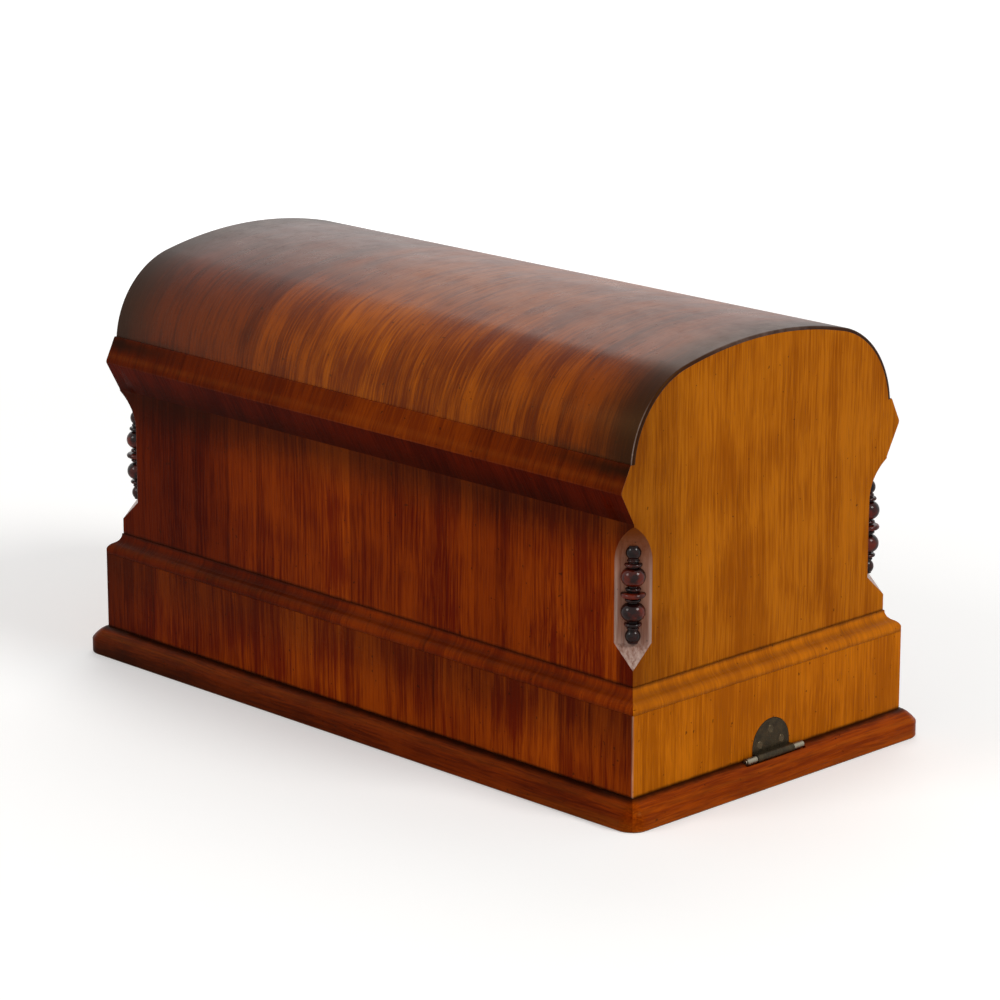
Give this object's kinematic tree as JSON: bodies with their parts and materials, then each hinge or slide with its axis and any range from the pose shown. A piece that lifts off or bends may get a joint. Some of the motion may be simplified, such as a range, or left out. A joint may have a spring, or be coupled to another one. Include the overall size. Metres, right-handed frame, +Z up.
{
  "type": "sewing machine cover box",
  "caption": "Vaulted wooden cover for a sewing machine, hinged at one end to a low moulded plinth, with stop-chamfered corners holding split turnings.",
  "frame": {"origin": "middle of the plinth's underside, on the surface the box stands on", "axes": "+X along the box towards the hinged end, +Y from front to back, +Z up"},
  "size_m": [0.47, 0.245, 0.257],
  "materials": {
    "end_walnut": "French-polished walnut veneer, golden, upright grain",
    "side_walnut": "French-polished walnut veneer, red-brown, upright grain",
    "vault_walnut": "French-polished walnut veneer over a bent sheet",
    "plinth_walnut": "polished solid walnut, worn at the edge",
    "ebonised_turning": "glossy black-brown polish",
    "glue_block_pine": "bare pine",
    "bronzed_iron": "dark bronzed, worn",
    "bright_steel": "worn bright",
    "lock_iron": "dark iron",
    "brass": "aged brass"
  },
  "bodies": {
    "root": {"hinge_base_leaf": "bright_steel", "hinge_base_screws": "bright_steel", "hinge_pin": "bright_steel", "locating_strip_back": "plinth_walnut", "locating_strip_front": "plinth_walnut", "locating_strip_left": "plinth_walnut", "locating_strip_right": "plinth_walnut", "plinth_back_rail": "plinth_walnut", "plinth_front_rail": "plinth_walnut", "plinth_left_rail": "plinth_walnut", "plinth_right_rail": "plinth_walnut", "strike_plate": "brass", "strike_screws": "lock_iron"},
    "cover": {"back_panel": "side_walnut", "base_band_back": "side_walnut", "base_band_front": "side_walnut", "base_band_left": "end_walnut", "base_band_right": "end_walnut", "base_moulding_back": "side_walnut", "base_moulding_front": "side_walnut", "base_moulding_left": "end_walnut", "base_moulding_right": "end_walnut", "corner_block_back_left": "glue_block_pine", "corner_block_back_right": "glue_block_pine", "corner_block_front_left": "glue_block_pine", "corner_block_front_right": "glue_block_pine", "corner_spindle_back_left": "ebonised_turning", "corner_spindle_back_right": "ebonised_turning", "corner_spindle_front_left": "ebonised_turning", "corner_spindle_front_right": "ebonised_turning", "eaves_moulding_back": "side_walnut", "eaves_moulding_front": "side_walnut", "escutcheon_pins": "brass", "front_panel": "side_walnut", "hinge_cover_leaf": "bronzed_iron", "hinge_cover_screws": "bronzed_iron", "keyhole_escutcheon": "brass", "left_end_board": "end_walnut", "lock_case": "lock_iron", "lock_screws": "lock_iron", "right_end_board": "end_walnut", "vault_blocks_back": "glue_block_pine", "vault_blocks_front": "glue_block_pine", "vault_top": "vault_walnut"},
    "lock_bolt": {"lock_bolt": "brass"}
  },
  "joints": [
    {"name": "cover_hinge", "type": "hinge", "parent": "root", "child": "cover", "pos_m": [0.2276, 0, 0.0165], "axis": [0, 1, 0], "range_deg": [0, 96]},
    {"name": "lock_bolt_slide", "type": "slide", "parent": "cover", "child": "lock_bolt", "axis": [0, -1, 0], "range_m": [0, 0.007]}
  ]
}
